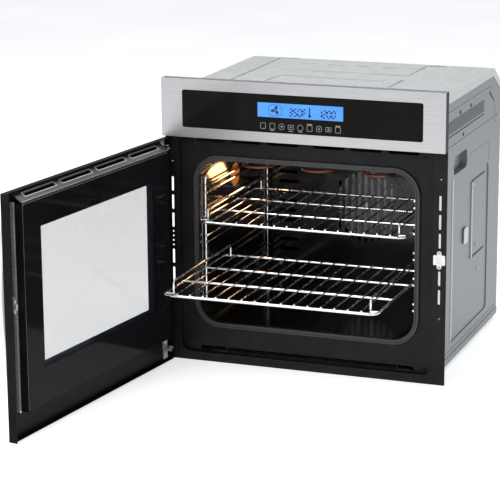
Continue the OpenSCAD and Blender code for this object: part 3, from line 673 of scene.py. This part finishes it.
SIDE_RIBS = (
    ([(20, 452), (500, 452)], 5), ([(22, 22), (505, 22)], 5), ([(124, 44), (124, 384)], 4),
    ([(270, 408), (424, 408), (424, 366)], 4), ([(400, 345), (292, 345)], 4), ([(292, 180), (400, 180)], 4),
    ([(70, 524), (425, 524), (470, 478), (470, 440)], 5))
SIDE_FOLDS = ([(133, 44), (133, 384)], [(288, 180), (288, 345)])
SIDE_SHADE_CAPS = ((180, 512), (265, 512), (205, 462))
SIDE_RIVETS = ((332, 201), (347, 147), (300, 338))
PRESSED = 0.3


def side_bead(points, side, width):
    level = side * PANEL_X
    return flatten(bead([(level, y * MM, z * MM) for y, z in points], width), 0, level, PRESSED)


def side_pad(name, side, y, z, width, height, radius, proud):
    """A raised pad on a side panel."""
    x = side * PANEL_X
    near, far = sorted((x, x + side * proud))
    obj = block(name, (near, (y - width / 2) * MM, (z - height / 2) * MM),
                (far, (y + width / 2) * MM, (z + height / 2) * MM))
    return round_corners(obj, 0, radius * MM, 5)


def side_ribs(side, hand):
    """The pressed ribs of a side panel."""
    ribs = joined(hand + "_side_ribs", [side_bead(points, side, width) for points, width in SIDE_RIBS])
    bpy.ops.object.shade_smooth()
    done(ribs, "cabinet", "galvanised_steel", [shade_darkened_galvanised()])


def side_folds(side, hand):
    """The two upright folds, coloured lighter than the sheet as a painted highlight."""
    folds = joined(hand + "_side_folds", [side_bead(points, side, 7) for points in SIDE_FOLDS])
    bpy.ops.object.shade_smooth()
    done(folds, "cabinet", "galvanised_steel", [lit_steel_paint()])


def edge_tape(side, hand):
    tape = side_pad(hand + "_edge_tape", side, 40, 250, 36, 330, 1, 0.2 * MM)
    done(tape, "cabinet", "galvanised_steel", [light_metal()])


def side_boss(side, hand):
    boss = side_pad(hand + "_side_boss", side, 236, 243, 30, 34, 5, 2.4 * MM)
    soften(boss, 0.8)
    done(boss, "cabinet", "galvanised_steel", [zinc()])


def vent_screen(side, hand):
    mesh_strip = side_pad(hand + "_vent_screen", side, 224, 493, 296, 25, 1, 0.3 * MM)
    done(mesh_strip, "cabinet", "galvanised_steel", [screen()])


def side_plugs(side, hand):
    # Dark discs over three holes of the side panel: painted shade standing in for the dark inside of the
    # holes.
    plugs = [side_pad("plug", side, y, z, 8, 8, 3.6, 1.0 * MM) for y, z in SIDE_SHADE_CAPS]
    done(joined(hand + "_side_plugs", plugs), "cabinet", "dark_plastic", [dark_plastic()])


def side_rivets(side, hand):
    rivets = [side_pad("rivet", side, y, z, 6, 6, 2.8, 1.2 * MM) for y, z in SIDE_RIVETS]
    done(joined(hand + "_side_rivets", rivets), "cabinet", "zinc_plate", [zinc()])


def side_vent_shade_sheet(side, hand):
    """The dark sheet behind the slots of a side panel: painted shade seen through them."""
    outer = side * (PANEL_X - 4 * MM)
    near, far = sorted((outer, outer - side * 0.4 * MM))
    shade_sheet = block(hand + "_side_vent_shade_sheet", (near, 62 * MM, 446 * MM), (far, 452 * MM, 516 * MM))
    done(shade_sheet, "cabinet", "dark_plastic", [dark_plastic()])


# ---------- controls ----------

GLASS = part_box("control_glass")[0]
DISPLAY = sum(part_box("display_module"), Vector()) / 2
LAYER = 0.12 * MM
LCD_FRONT = GLASS.y - LAYER
INK_FRONT = LCD_FRONT - LAYER
LCD_LEFT = -92
DIGIT_HEIGHT = 14 * MM
DIGIT_LEAN = 0.1
SEGMENTS = {"0": "abcdef", "1": "bc", "2": "abged", "3": "abgcd", "5": "afgcd", "F": "afge"}
ICON_PITCH = 19.6 * MM
ICON_Z = GLASS.z + 13.3 * MM


def control_window():
    sheet_metal("control_glass", "control_window", 0.5, "cabinet", "black_glass", black_glass())


def plate(name, x, z, width, height, front, back):
    return block(name, (x - width / 2, front, z - height / 2), (x + width / 2, back, z + height / 2))


def rounded_plate(name, x, z, width, height, radius, front, back):
    """A thin plate facing the front, with round corners."""
    return round_corners(plate(name, x, z, width, height, front, back), 1, radius, 6)


def lcd_panel():
    lcd = rounded_plate("lcd_panel", 0, DISPLAY.z, 179 * MM, 29 * MM, 1.2 * MM, LCD_FRONT, GLASS.y + LAYER)
    done(lcd, "cabinet", "blue_display", [lcd_blue()])


def segment(x, z, width, height, thick):
    """One bar of a digit, its corners cut off."""
    return round_corners(plate("bar", x, z, width, height, INK_FRONT, LCD_FRONT), 1, thick * 0.42, 1)


def digit(sign, x, z):
    """A slanted seven-segment sign, its middle at x and z."""
    width, thick = DIGIT_HEIGHT * 0.5, DIGIT_HEIGHT * 0.2
    top, quarter = DIGIT_HEIGHT / 2, DIGIT_HEIGHT / 4
    places = {"a": (0, top, 1), "g": (0, 0, 1), "d": (0, -top, 1), "f": (-width / 2, quarter, 0),
              "b": (width / 2, quarter, 0), "e": (-width / 2, -quarter, 0), "c": (width / 2, -quarter, 0)}
    bars = []
    for key in SEGMENTS[sign]:
        across, up, flat = places[key]
        long = (width if flat else DIGIT_HEIGHT / 2) - thick * 0.7
        size = (long, thick) if flat else (thick, long)
        bar = segment(x + across, z + up, *size, thick)
        for vertex in bar.data.vertices:
            vertex.co.x += (vertex.co.z - z) * DIGIT_LEAN
        bars.append(bar)
    return bars


def ring(name, x, z, width, height, thick, front, back, radius):
    """A rounded outline facing the front."""
    obj = rounded_plate(name, x, z, width, height, radius, front, back)
    bpy.ops.object.mode_set(mode="EDIT")
    pick(obj, "FACE", lambda face: abs(face.normal.y) > ALONG)
    bpy.ops.mesh.inset(thickness=thick)
    mesh = bmesh.from_edit_mesh(obj.data)
    inner = [f for f in mesh.faces if f.select]
    bmesh.ops.delete(mesh, geom=inner, context="FACES_ONLY")
    open_edges = [e for e in mesh.edges if e.is_boundary]
    bmesh.ops.bridge_loops(mesh, edges=open_edges)
    bmesh.ops.recalc_face_normals(mesh, faces=mesh.faces)
    bmesh.update_edit_mesh(obj.data)
    bpy.ops.object.mode_set(mode="OBJECT")
    return obj


def number_signs():
    """The temperature, the time and the colon between its digits."""
    z = DISPLAY.z - 2.5 * MM
    signs = []
    for text, start, pitch in (("350F", 72, 9.8), ("1200", 133, 9.6)):
        for index, sign in enumerate(text):
            signs += digit(sign, (LCD_LEFT + start + index * pitch) * MM, z)
    x = (LCD_LEFT + 147.6) * MM
    signs += [plate("dot", x, z + up * MM, 1.3 * MM, 1.3 * MM, INK_FRONT, LCD_FRONT) for up in (-3, 3)]
    return signs


def thermometer():
    x, z = (LCD_LEFT + 112) * MM, DISPLAY.z
    stem = rounded_plate("stem", x, z + 1 * MM, 2.6 * MM, 17 * MM, 1.2 * MM, INK_FRONT, LCD_FRONT)
    foot = rounded_plate("foot", x, z - 8 * MM, 6 * MM, 6 * MM, 2.9 * MM, INK_FRONT, LCD_FRONT)
    return [stem, foot]


def fan_sign():
    """Three blades in a rounded outline."""
    about = Vector(((LCD_LEFT + 40) * MM, 0, DISPLAY.z))
    signs = [ring("fan ring", about.x, about.z, 29 * MM, 23 * MM, 0.9 * MM, INK_FRONT, LCD_FRONT, 9 * MM)]
    for turn in range(3):
        blade = rounded_plate("blade", about.x, about.z + 5.2 * MM, 6 * MM, 8.4 * MM, 2.6 * MM,
                              INK_FRONT, LCD_FRONT)
        spin = Matrix.Rotation(math.radians(120 * turn + 20), 4, "Y")
        blade.data.transform(Matrix.Translation(about) @ spin @ Matrix.Translation(-about))
        signs.append(blade)
    return signs


def lcd_signs():
    signs = joined("lcd_signs", number_signs() + thermometer() + fan_sign())
    done(signs, "cabinet", "blue_display", [lcd_ink()])


def icon_outline(index, x, front, back):
    """The outline of a touch sign: a tall box, a disc or a low box."""
    if index in (0, 1, 5, 8):
        return ring("icon", x, ICON_Z, 11 * MM, 12 * MM, 0.6 * MM, front, back, 1.5 * MM)
    if index in (2, 4, 6):
        return ring("icon", x, ICON_Z, 12 * MM, 12 * MM, 0.6 * MM, front, back, 5.5 * MM)
    return ring("icon", x, ICON_Z, 12 * MM, 9 * MM, 0.6 * MM, front, back, 1 * MM)


def touch_icons():
    """The row of nine touch signs, two of them with a warm bar on top."""
    front, back = GLASS.y - LAYER, GLASS.y + LAYER
    pale, warm = [], []
    for index in range(9):
        x = (index - 4) * ICON_PITCH + 0.4 * MM
        pale.append(icon_outline(index, x, front, back))
        if index in (5, 8):
            warm.append(plate("bar", x, ICON_Z + 8 * MM, 10 * MM, 1.2 * MM, front, back))
        elif index in (1, 3, 4):
            pale.append(plate("bar", x, ICON_Z - 8 * MM, 9 * MM, 1 * MM, front, back))
        if index in (2, 3, 6, 7):
            pale.append(plate("bar", x, ICON_Z, 5 * MM, 0.9 * MM, front, back))
            pale.append(plate("bar", x, ICON_Z, 0.9 * MM, 5 * MM, front, back))
    done(joined("touch_icons", pale), "cabinet", "black_glass", [icon_print()])
    done(joined("touch_icon_accents", warm), "cabinet", "black_glass", [icon_warm()])


# ---------- the seal round the mouth ----------

SEAL_CORNER = 55 * MM
LIP_R = 1.4 * MM


def seal_base():
    sheet_metal("mouth_gasket", "mouth_seal_base", 0.6, "cabinet", "grey_gasket", gasket_sleeve())


def lip(name, inset):
    """A round bead of the seal, a rounded rectangle facing the front."""
    low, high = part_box("mouth_gasket")
    centre, size = (low + high) / 2, high - low
    bpy.ops.object.select_all(action="DESELECT")
    bpy.ops.mesh.primitive_plane_add(size=1, location=(0, 0, 0))
    obj = bpy.context.object
    obj.scale = (size.x - 2 * inset, size.z - 2 * inset, 1)
    settle(obj)
    bpy.ops.object.mode_set(mode="EDIT")
    bpy.ops.mesh.select_all(action="SELECT")
    bpy.ops.mesh.bevel(offset=SEAL_CORNER - inset, segments=14, affect="VERTICES")
    bpy.ops.mesh.select_all(action="SELECT")
    bpy.ops.mesh.delete(type="ONLY_FACE")
    bpy.ops.object.mode_set(mode="OBJECT")
    obj.rotation_euler = (math.pi / 2, 0, 0)
    obj.location = (centre.x, low.y + LIP_R, centre.z)
    settle(obj)
    bpy.ops.object.convert(target="CURVE")
    obj = bpy.context.object
    obj.data.bevel_depth = LIP_R
    obj.data.bevel_resolution = 3
    bpy.ops.object.convert(target="MESH")
    obj = bpy.context.object
    obj.name = name
    bpy.ops.object.shade_smooth()
    return obj


def seal_lips():
    # The lips' light colour is a painted highlight on the seal.
    lips = [lip("outer lip", 1.5 * MM), lip("inner lip", 8 * MM)]
    done(joined("mouth_seal_lips", lips), "cabinet", "grey_gasket", [seal_highlight_paint()])


# ---------- screws ----------

FIXING_X = 284 * MM
FIXING_Z = (127 * MM, 410 * MM)
FRAME_MID = 2.4 * MM


def cylinder(radius, depth, place, turned=(0, 0, 0)):
    bpy.ops.object.select_all(action="DESELECT")
    bpy.ops.mesh.primitive_cylinder_add(vertices=28, radius=radius, depth=depth, location=place,
                                        rotation=turned)
    return settle(bpy.context.object)


def screw_head(radius, height):
    """A low domed head with a crossed recess, its underside at z = 0."""
    obj = cylinder(radius, height, (0, 0, height / 2))
    bpy.ops.object.mode_set(mode="EDIT")
    pick(obj, "EDGE", lambda edge: all(v.co.z > height * 0.9 for v in edge.verts))
    bpy.ops.mesh.bevel(offset=height * 0.55, segments=4, affect="EDGES")
    bpy.ops.object.mode_set(mode="OBJECT")
    arms = [block("arm", (-radius * a, -radius * b, height * 0.4), (radius * a, radius * b, height * 2))
            for a, b in ((0.55, 0.13), (0.13, 0.55))]
    for arm in arms:
        apply(obj, "BOOLEAN", operation="DIFFERENCE", object=arm, solver="EXACT")
        bpy.data.objects.remove(arm)
    only(obj)
    bpy.ops.object.shade_smooth_by_angle(angle=CREASE)
    return obj


def island(start, seen):
    """The points of the solid that a vertex belongs to."""
    seen.add(start)
    group, queue = [], [start]
    while queue:
        vertex = queue.pop()
        group.append(vertex.co.copy())
        for edge in vertex.link_edges:
            other = edge.other_vert(vertex)
            if other not in seen:
                seen.add(other)
                queue.append(other)
    return group


def islands(node):
    """The boxes of a node's separate solids."""
    obj = twin(node, "scratch")
    mesh = bmesh.new()
    mesh.from_mesh(obj.data)
    seen = set()
    boxes = [corners(island(start, seen)) for start in mesh.verts if start not in seen]
    mesh.free()
    bpy.data.objects.remove(obj)
    return boxes


def head_on(low, high, way):
    """A head that covers the end of one screw and faces a way."""
    size, middle = high - low, (low + high) / 2
    axis = max(range(3), key=lambda i: abs(way[i]))
    across = max(size[i] for i in range(3) if i != axis) / 2
    height = min(size[axis], across * 0.62)
    tip = high[axis] if way[axis] > 0 else low[axis]
    middle[axis] = tip - way[axis] * height
    head = screw_head(across, height)
    head.data.transform(Matrix.Translation(middle) @ way.to_track_quat("Z", "Y").to_matrix().to_4x4())
    return head


def heads(name, node, outward, material, where=lambda low: True):
    """A head on each screw of a node; outward gives the way that a head faces."""
    made = [head_on(low, high, outward(low, high)) for low, high in islands(node) if where(low)]
    done(joined(name, made), "cabinet", "zinc_plate", [material], node)


def forward(low, high):
    return Vector((0, -1, 0))


def panel_way(low, high):
    size = high - low
    if size.z < size.x:
        return Vector((0, 0, 1))
    return Vector((math.copysign(1, low.x), 0, 0))


def frame_screws():
    heads("recess_screw_heads", "frame_screws", forward, charcoal(), lambda low: low.y > 0)
    heads("hinge_screw_heads", "frame_screws", forward, charcoal(), lambda low: low.y <= 0 and low.x < 0)
    heads("catch_screw_heads", "frame_screws", forward, zinc(), lambda low: low.y <= 0 and low.x > 0)


def fixing_hole_shade_sleeve(x, z):
    """A dark sleeve in a hole for a cabinet screw: painted shade of the deep hole."""
    place, forwards = (x, FRAME_MID, z), (math.pi / 2, 0, 0)
    wall = cylinder(4.2 * MM, 7 * MM, place, forwards)
    bore = cylinder(2.1 * MM, 20 * MM, place, forwards)
    apply(wall, "BOOLEAN", operation="DIFFERENCE", object=bore, solver="EXACT")
    bpy.data.objects.remove(bore)
    return wall


def fixing_hole_shade_sleeves():
    sleeves = [fixing_hole_shade_sleeve(side * FIXING_X, z) for side in (-1, 1) for z in FIXING_Z]
    done(joined("fixing_hole_shade_sleeves", sleeves), "cabinet", "dark_plastic", [dark_plastic()])


def panel_screws():
    heads("panel_screw_heads", "body_screws", panel_way, zinc())


# ---------- door ----------

WINDOW_SIDE = 59 * MM
WINDOW_FOOT = 72.2 * MM
WINDOW_HEAD = 54.2 * MM
PANE_LIP = 3 * MM
PANE_RIM = 6 * MM
LEAF_SCREW_Z = (2, 30, 420, 449)
VENT_SLOT_X = (-189, -63, 63, 189)
VENT_SLOPE = math.radians(-122.9)


def door_fittings():
    """The rails, the vent strip, the handle's bar, the strike and the hinge leaves."""
    for node, name, width, slot, material in (
            ("door_side_rails", "inner_door_rails", 0.5, "charcoal_enamel", door_black()),
            ("door_bottom_rail", "inner_door_sill", 0.3, "charcoal_enamel", door_black()),
            ("door_top_vent", "door_vent_strip", 0.3, "dark_plastic", vent_metal()),
            ("door_handle", "handle_bar", 1.6, "stainless_steel", bar_steel()),
            ("door_strike", "door_strike_tongue", 0.4, "zinc_plate", zinc()),
            ("hinge_leaves", "door_hinge_leaves", 0.4, "zinc_plate", zinc())):
        sheet_metal(node, name, width, "door", slot, material)


def leaf_screw(z):
    """A screw through a hinge plate into the door."""
    screw = screw_head(3.4 * MM, 2.2 * MM)
    place = Matrix.Translation((-276 * MM, -16.8 * MM, z * MM))
    screw.data.transform(place @ Matrix.Rotation(-math.pi / 2, 4, "X"))
    return swing_open(screw)


def leaf_screws():
    screws = joined("hinge_leaf_screws", [leaf_screw(z) for z in LEAF_SCREW_Z])
    done(screws, "door", "zinc_plate", [light_metal()])


def door_skin():
    """The outer panel: brushed in front, black on its folds and inside."""
    skin = twin("door_outer_panel", "door_skin")
    soften(skin, 0.4)
    skin.data.materials.append(door_brushed())
    skin.data.materials.append(door_black())
    front = closed_box("door_outer_panel")[0].y + 0.5 * MM
    for polygon in skin.data.polygons:
        if (TO_CLOSED @ polygon.center).y > front:
            polygon.material_index = 1
    done(skin, "door", "stainless_steel", [], "door_outer_panel")


def window():
    """The corners of the clear window, with the door closed."""
    low, high = closed_box("door_side_rails")
    top = closed_box("door_inner_glass")[1].z + PANE_LIP
    return (Vector((low.x + WINDOW_SIDE, 0, low.z + WINDOW_FOOT)),
            Vector((high.x - WINDOW_SIDE, 0, top - WINDOW_HEAD)))


def clear_face(face, low, high, wider):
    """Shapes the inner part of a pane's face into its clear window."""
    window_low, window_high = window()
    middle = (low.z + high.z) / 2
    face.material_index = 1
    for vertex in face.verts:
        right, above = vertex.co.x > 0, vertex.co.z > middle
        side = window_high.x + wider if right else window_low.x - wider
        end = window_high.z if above else window_low.z
        vertex.co.x += side - (high.x - PANE_RIM if right else low.x + PANE_RIM)
        vertex.co.z += end - (high.z - PANE_RIM if above else low.z + PANE_RIM)


def pane(name, node, border, wider=0.0):
    """A glass pane with a printed border round the clear window."""
    low, high = closed_box(node)
    obj = round_corners(block(name, low, high), 1, 5 * MM, 6)
    for material in (border, clear(), glass_edge()):
        obj.data.materials.append(material)
    bpy.ops.object.mode_set(mode="EDIT")
    pick(obj, "FACE", lambda face: abs(face.normal.y) > ALONG)
    bpy.ops.mesh.inset(thickness=PANE_RIM, use_individual=True)
    for face in bmesh.from_edit_mesh(obj.data).faces:
        if face.select:
            clear_face(face, low, high, wider)
    bmesh.update_edit_mesh(obj.data)
    bpy.ops.object.mode_set(mode="OBJECT")
    for polygon in obj.data.polygons:
        if abs(polygon.normal.y) < 0.5:
            polygon.material_index = 2
    soften(obj, 0.5)
    swing_open(obj)
    done(obj, "door", "door_glass", [], node)


def panes():
    pane("inner_door_pane", "door_inner_glass", frit())
    pane("middle_door_pane", "door_mid_glass", blue_frit(), 8 * MM)
    pane("front_door_pane", "door_outer_glass", blue_frit(), 8 * MM)


def edge_channel():
    """The bright channel inside the free edge of the door."""
    channel = block("door_edge_channel", (266.4 * MM, -19.6 * MM, 40 * MM), (271 * MM, -12.4 * MM, 440 * MM))
    soften(channel, 0.3)
    done(swing_open(channel), "door", "zinc_plate", [zinc()])


def vent_highlight_ring(x):
    """A light ring round one of the air slots of the sloping strip: a painted highlight of the slot's edge.
    """
    highlight_ring = ring("highlight_ring", 0, 0, 107 * MM, 12 * MM, 1.1 * MM, -0.5 * MM, 0.3 * MM, 1.5 * MM)
    place = Matrix.Translation((x * MM, -9 * MM, 449.3 * MM))
    highlight_ring.data.transform(place @ Matrix.Rotation(VENT_SLOPE, 4, "X"))
    return swing_open(highlight_ring)


def vent_highlight_rings():
    highlight_rings = joined("vent_slot_highlight_rings", [vent_highlight_ring(x) for x in VENT_SLOT_X])
    done(highlight_rings, "door", "zinc_plate", [light_metal()])


def vent_lip():
    strip = block("vent_front_lip", (-266 * MM, 3.4 * MM, 440.6 * MM), (266 * MM, 4.0 * MM, 442.2 * MM))
    soften(strip, 0.15)
    done(swing_open(strip), "door", "zinc_plate", [zinc()])


# ---------- studio ----------

CAMERA_PLACE = Vector((1.3285, -3.8261, 1.2691))
YAW, PITCH, ROLL = math.radians(20.68), math.radians(14.18), math.radians(-0.39)


def studio_floor():
    bpy.ops.object.select_all(action="DESELECT")
    bpy.ops.mesh.primitive_plane_add(size=60, location=(0, 0, cad_box[0].z - 0.2 * MM))
    floor = bpy.context.object
    floor.name = "studio_floor"
    floor.data.materials.append(floor_paint())


def light_object(name, data):
    obj = bpy.data.objects.new(name, data)
    bpy.context.scene.collection.objects.link(obj)
    return obj


def softbox(name, place, target, size, power):
    data = bpy.data.lights.new(name, "AREA")
    data.shape = "RECTANGLE"
    data.size, data.size_y = size
    data.energy = power
    obj = light_object(name, data)
    obj.location = place
    obj.rotation_euler = (Vector(target) - Vector(place)).to_track_quat("-Z", "Y").to_euler()


def softboxes():
    softbox("key softbox", (-1.2, -2.8, 2.4), (0, 0.1, 0.4), (2.2, 1.8), 80)
    softbox("side softbox", (2.4, -2.6, 1.3), (0.2, 0.2, 0.3), (0.8, 1.6), 9)
    softbox("top softbox", (0.0, 0.9, 3.0), (0, 0.3, 0.5), (2.6, 2.2), 55)


def oven_lamp():
    """The warm light in front of the lamp's lens."""
    low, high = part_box("lamp_lens")
    data = bpy.data.lights.new("oven lamp", "POINT")
    data.energy = 0.3
    data.color = (1.0, 0.52, 0.22)
    data.shadow_soft_size = 0.02
    light_object("oven lamp", data).location = (high.x + 34 * MM, (low.y + high.y) / 2, (low.z + high.z) / 2)


def surroundings():
    """Soft light from all round, with plain white behind the oven."""
    world = bpy.data.worlds.new("studio")
    bpy.context.scene.world = world
    world.use_nodes = True
    tree = world.node_tree
    fill = tree.nodes["Background"]
    fill.inputs["Color"].default_value = (0.9, 0.93, 1, 1)
    fill.inputs["Strength"].default_value = 0.42
    backdrop = tree.nodes.new("ShaderNodeBackground")
    backdrop.inputs["Color"].default_value = (1, 1, 1, 1)
    chooser = tree.nodes.new("ShaderNodeMixShader")
    seen = tree.nodes.new("ShaderNodeLightPath")
    tree.links.new(seen.outputs["Is Camera Ray"], chooser.inputs["Fac"])
    tree.links.new(fill.outputs["Background"], chooser.inputs[1])
    tree.links.new(backdrop.outputs["Background"], chooser.inputs[2])
    tree.links.new(chooser.outputs["Shader"], tree.nodes["World Output"].inputs["Surface"])


def studio_camera():
    data = bpy.data.cameras.new("studio camera")
    data.lens = 149.0
    data.sensor_width = 36
    data.clip_end = 100
    camera = light_object("studio camera", data)
    camera.matrix_world = (Matrix.Translation(CAMERA_PLACE) @ Matrix.Rotation(YAW, 4, "Z")
                           @ Matrix.Rotation(math.pi / 2 - PITCH, 4, "X") @ Matrix.Rotation(ROLL, 4, "Z"))
    bpy.context.scene.camera = camera
    bpy.context.scene.view_settings.view_transform = "Standard"


# ---------- the whole ----------

dress_nodes()
for make in (body_sheets, roof_sheet, roof_slot_shade_sheet, front_frame, fascia, body_fittings, latch_insert, roof_ribs):
    make()
for side, hand in ((-1, "left"), (1, "right")):
    for make in (side_ribs, side_folds, edge_tape, side_boss, vent_screen, side_plugs, side_rivets,
                 side_vent_shade_sheet):
        make(side, hand)
for make in (control_window, lcd_panel, lcd_signs, touch_icons, seal_base, seal_lips,
             frame_screws, fixing_hole_shade_sleeves, panel_screws,
             door_fittings, leaf_screws, door_skin, panes, edge_channel, vent_highlight_rings, vent_lip,
             studio_floor, softboxes, oven_lamp, surroundings, studio_camera):
    make()
